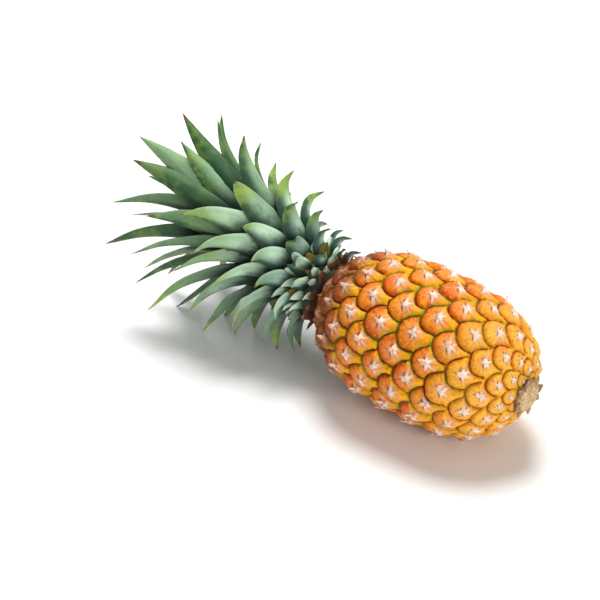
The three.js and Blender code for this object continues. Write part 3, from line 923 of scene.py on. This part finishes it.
# small scales at the crown's foot
foot = {
    "count": 54, "low": 0.5, "high": 24, "length": 19, "width": 13.5, "channel": 0.3,
    "waist": 0.75, "thickness": 1.4, "curl": 38, "sunk": 4,
    "angle": 34,   # degrees off the crown's axis, for the highest scale
    "spread": 12,   # degrees more for the lowest
    "firstTurn": 154,
    "leastSize": 0.75, "growth": 0.35,
    "turnChange": 6, "angleChange": 7, "sizeChange": 0.12, "curlChange": 0.6,
    "lean": 0, "leanChange": 16, "twistChange": 24,
    "bends": 3, "stations": 12,
    "sweep": {"Section Points": 14, "Cup Power": 1.8, "Wave Height": 0.06, "Waves": 5.0},
    "colours": {"green": "4c7252", "pale": "d6f0d6", "olive": "465416", "olivePale": "86702c",
                "tip": "8a6a3c", "root": "0e1810", "crowdShade": "08140a"},
}


def footScale(index):
    share = index / (foot["count"] - 1)
    size = foot["leastSize"] + foot["growth"] * share + wander(index, 73, foot["sizeChange"])
    start = foot["angle"] + foot["spread"] * (1 - share) + wander(index, 71, foot["angleChange"])
    turn = foot["firstTurn"] + crown["leafTurn"] * index + wander(index, 72, foot["turnChange"])
    return bladeAt(
        foot, index, 74, start, foot["curl"], turn=turn,
        rootHeight=foot["low"] + (foot["high"] - foot["low"]) * share,
        rootRadius=crown["coreFootRadius"] - foot["sunk"],
        length=foot["length"] * size, width=foot["width"] * size, age=draw(index, 78))


def footFinish():
    paint = Finish("foot scale", foot["colours"], **{"Specular IOR Level": 0.2})
    across, along, tone, seen = paint.read("across", "place", "tone", "open")
    broad, fine = paint.noise(50), paint.noise(240, 4)
    vein = paint.noise(4, 3, 0.6, across * 9, along, tone)
    green = paint.mix((along + broad * 0.6).ease(0.5, 1.1), "green", "pale")
    olive = paint.mix(broad.ease(0.3, 0.7), "olive", "olivePale")
    body = paint.mix(tone.ease(0.62, 0.7), green, olive).coats(
        ((along + fine * 0.25).ease(0.98, 1.12) * 0.8, "tip"),
        # painted shade: nearly black at the roots, where the scales tuck in
        (along.ease(0.42, 0.14) * 0.92, "root"),
        # painted shade where other scales and leaves crowd close, from the stored openness
        (seen.ease(0.4, 0.03, 0, 0.88), "crowdShade"),
    )
    paint.bump(fine + vein, 0.3, 0.0006)
    return paint.done(body, broad.ease(0.2, 0.8, 0.4, 0.6))


scales = [footScale(index) for index in range(foot["count"])]
footPiece = makeBlades("footScales", scales, foot, crownSpace, footFinish(), hang)
place(footPiece, "crown")

# the stem that the leaves stand on
stem = {
    "sides": 40, "rings": 14, "taper": 3, "taperPlace": 0.45, "tipRadius": 4,
    "colours": {"dark": "1c2412", "pale": "3c4424"},
}


def makeStem():
    low, length, wide = crown["coreFoot"], crown["coreLength"], crown["coreFootRadius"]
    heights = (0, low, length * stem["taperPlace"], length - low, length)
    radii = (wide, wide, wide - stem["taper"], crown["coreTopRadius"], stem["tipRadius"])
    rings = [(np.interp(height, heights, radii), height)
             for height in np.linspace(0, length, stem["rings"])]
    return makeTurned("crownStem", rings, stem["sides"], crownSpace, stemFinish())


def stemFinish():
    paint = Finish("stem", stem["colours"], Roughness=0.7)
    return paint.done(paint.mix(paint.noise(60).ease(0.35, 0.65), "dark", "pale"))


stemPiece = makeStem()
place(stemPiece, "crown")

shading = {
    "rays": 26,
    "gap": 0.0008,   # metres that a ray starts off the surface
    "reach": 0.035,   # metres within which a leaf shades another
    "grazing": 0.1,   # rays flatter than this don't count
}


def storeOpen(pieces, around):
    # how much of its surroundings each point sees, kept to paint shade into the places between leaves
    points, faces = [], []
    for piece in around:
        first = len(points)
        points += [v.co for v in piece.data.vertices]
        faces += [[first + v for v in p.vertices] for p in piece.data.polygons]
    crowd = BVHTree.FromPolygons(points, faces)
    count = shading["rays"]
    rays = []
    for k in range(count):
        height, turn = 1 - (2 * k + 1) / count, math.radians(crown["leafTurn"] * k)
        rays.append(Vector(polar(math.sqrt(1 - height * height), turn, height)))
    for piece in pieces:
        seen = []
        for vertex in piece.data.vertices:
            normal, start = vertex.normal, vertex.co + vertex.normal * shading["gap"]
            ahead = [ray for ray in rays if ray.dot(normal) > shading["grazing"]]
            free = sum(crowd.ray_cast(start, ray, shading["reach"])[3] is None for ray in ahead)
            seen.append(free / max(len(ahead), 1))
        store(piece, "open", seen)


storeOpen([crownPiece, footPiece], [crownPiece, footPiece, stemPiece])
print("openness stored")

# dry scales in a ring round a disc: the collar under the crown, and the cut stalk
dryScales = {
    "waist": 0.9, "thickness": 1.0, "sunk": 5, "curlChange": 0, "lean": 0,
    "leanChange": 22, "twistChange": 24,
    "rootShare": 0.5, "rootRise": 0.2,   # of the ring's height
    "leastLength": 0.85, "addedLength": 0.3, "leastWidth": 0.8, "addedWidth": 0.35,
    "bends": 2, "stations": 12, "bevel": 0.8, "bevelShare": 0.93,
    "sweep": {"Section Points": 14, "Cup Power": 1.5, "Wave Height": 0.12, "Waves": 9.0},
}
collar = {
    **dryScales, "pieces": ("collarScales", "collarDisc"), "finishes": ("dry scale", "collar disc"),
    "radius": 24.5, "height": crown["neckThickness"], "count": 18, "length": 16, "width": 13,
    "angle": 84, "curl": -10, "channel": 0.15, "sides": 48, "salt": 11,
    "colours": {"dark": "4a2412", "pale": "8a5a34", "shade": "3a1c10", "edge": "d9b38a",
                "wood": "4c2614", "woodPale": "7c4a28"},
}
stalk = {
    **dryScales, "pieces": ("stalkScales", "stalkEnd"), "finishes": ("stalk scale", "cut stalk"),
    "radius": 11.5, "height": 7, "count": 9, "length": 12.6, "width": 9,
    "angle": 78, "curl": 17, "channel": 0.12, "sides": 40, "salt": 12,
    "colours": {"dark": "8a6238", "pale": "c9a06c", "shade": "3a1c10", "edge": "d9b38a",
                "wood": "a9814c", "woodPale": "e0c79a"},
}


def dryScale(ring, low, index):
    salt, share = ring["salt"], index / ring["count"]
    return bladeAt(
        ring, index, salt + 2, ring["angle"], ring["curl"], turn=index * crown["leafTurn"],
        rootHeight=low + ring["height"] * (ring["rootShare"] + ring["rootRise"] * share),
        rootRadius=ring["radius"] - ring["sunk"],
        length=ring["length"] * (ring["leastLength"] + ring["addedLength"] * draw(index, salt)),
        width=ring["width"] * (ring["leastWidth"] + ring["addedWidth"] * draw(index, salt + 2)),
        tone=draw(index, salt + 1), age=share)


def dryFinish(name, colours):
    paint = Finish(name, colours, Roughness=0.75)
    across, along, tone = paint.read("across", "place", "tone")
    fibre = paint.noise(3, 4, 0.65, across * 9, along * 1.5, tone * 20)
    paint.bump(fibre, 0.6, 0.0006)
    return paint.done(paint.mix(fibre.ease(0.3, 0.7), "dark", "pale").coats(
        (tone.ease(0.3, 1) * 0.35, "shade"),
        (along.ease(0.8, 1) * 0.6, "edge"),
    ))


def woodFinish(name, colours):
    paint = Finish(name, colours, Roughness=0.8)
    grain = paint.noise(420, 4, 0.6)
    paint.bump(grain, 0.7, 0.0008)
    return paint.done(paint.mix(grain.ease(0.3, 0.7), "wood", "woodPale"))


def makeRing(ring, low, space, nodeName):
    scaleName, discName = ring["pieces"]
    scaleFinish, discFinish = ring["finishes"]
    scales = [dryScale(ring, low, index) for index in range(ring["count"])]
    place(makeBlades(scaleName, scales, ring, space, dryFinish(scaleFinish, ring["colours"])),
          nodeName)
    radius, high, bevel = ring["radius"], low + ring["height"], ring["bevel"]
    rim = radius * ring["bevelShare"]
    rings = [(rim, low), (radius, low + bevel), (radius, high - bevel), (rim, high)]
    place(makeTurned(discName, rings, ring["sides"], space,
                     woodFinish(discFinish, ring["colours"])), nodeName)


makeRing(collar, neckSeatZ + placing["seatGap"], fruitSpace, "neck_bracts")
stalkSpace = (fruitSpace @ Matrix.Translation((0, 0, stalkSeatZ - placing["seatGap"]))
              @ Matrix.Rotation(math.pi, 4, "X"))
makeRing(stalk, 0, stalkSpace, "stalk")

# floor, camera and lights, in metres
studio = {
    "floorSize": 8.0,
    "distance": 1.2, "azimuth": 36, "elevation": 32, "lens": 95.4, "clip": (0.05, 50),
    "aim": (-0.0993, -0.0502, 0.0831), "fruitMiddle": (-0.0116, -0.0050, 0.0598),
    # place, size and power of each light
    "lights": {
        "key": ((-0.45, 0.45, 1.8), 0.9, 33),
        "fill": ((1.9, -0.8, 0.9), 1.0, 24),
        "side": ((-1.5, 1.1, 0.9), 0.8, 7),
    },
    "lightAim": (-0.1, 0, 0.06),
    "world": 0.27,
    "colours": {"floor": "fbfbfa"},
}


def makeFloor():
    half, gap = studio["floorSize"] / 2 / mm, -placing["floorGap"]
    corners = [(-half, -half, gap), (half, -half, gap), (half, half, gap), (-half, half, gap)]
    finish = Finish("floor", studio["colours"], Roughness=0.6).done("floor")
    floor = makeMesh("floor", corners, [(0, 1, 2, 3)], finish, smooth=False)


def aimed(name, data, location, target):  # an object at location that looks at target
    thing = bpy.data.objects.new(name, data)
    thing.location = location
    look = Vector(target) - Vector(location)
    thing.rotation_euler = look.to_track_quat("-Z", "Y").to_euler()
    bpy.context.scene.collection.objects.link(thing)
    return thing


def makeCamera():
    a, e = math.radians(studio["azimuth"]), math.radians(studio["elevation"])
    back = Vector((math.sin(a) * math.cos(e), -math.cos(a) * math.cos(e), math.sin(e)))
    lens = bpy.data.cameras.new("camera")
    lens.lens = studio["lens"]
    lens.clip_start, lens.clip_end = studio["clip"]
    location = Vector(studio["fruitMiddle"]) + back * studio["distance"]
    bpy.context.scene.camera = aimed("camera", lens, location, studio["aim"])


def makeLights():
    for name, (location, size, power) in studio["lights"].items():
        light = bpy.data.lights.new(name, "AREA")
        light.shape, light.size, light.energy = "DISK", size, power
        aimed(name, light, location, studio["lightAim"])
    world = bpy.data.worlds.new("world")
    world.use_nodes = True
    background = world.node_tree.nodes["Background"].inputs
    background["Color"].default_value = (1, 1, 1, 1)
    background["Strength"].default_value = studio["world"]
    bpy.context.scene.world = world
    bpy.context.scene.view_settings.view_transform = "Standard"


makeFloor()
makeCamera()
makeLights()
print("studio done")
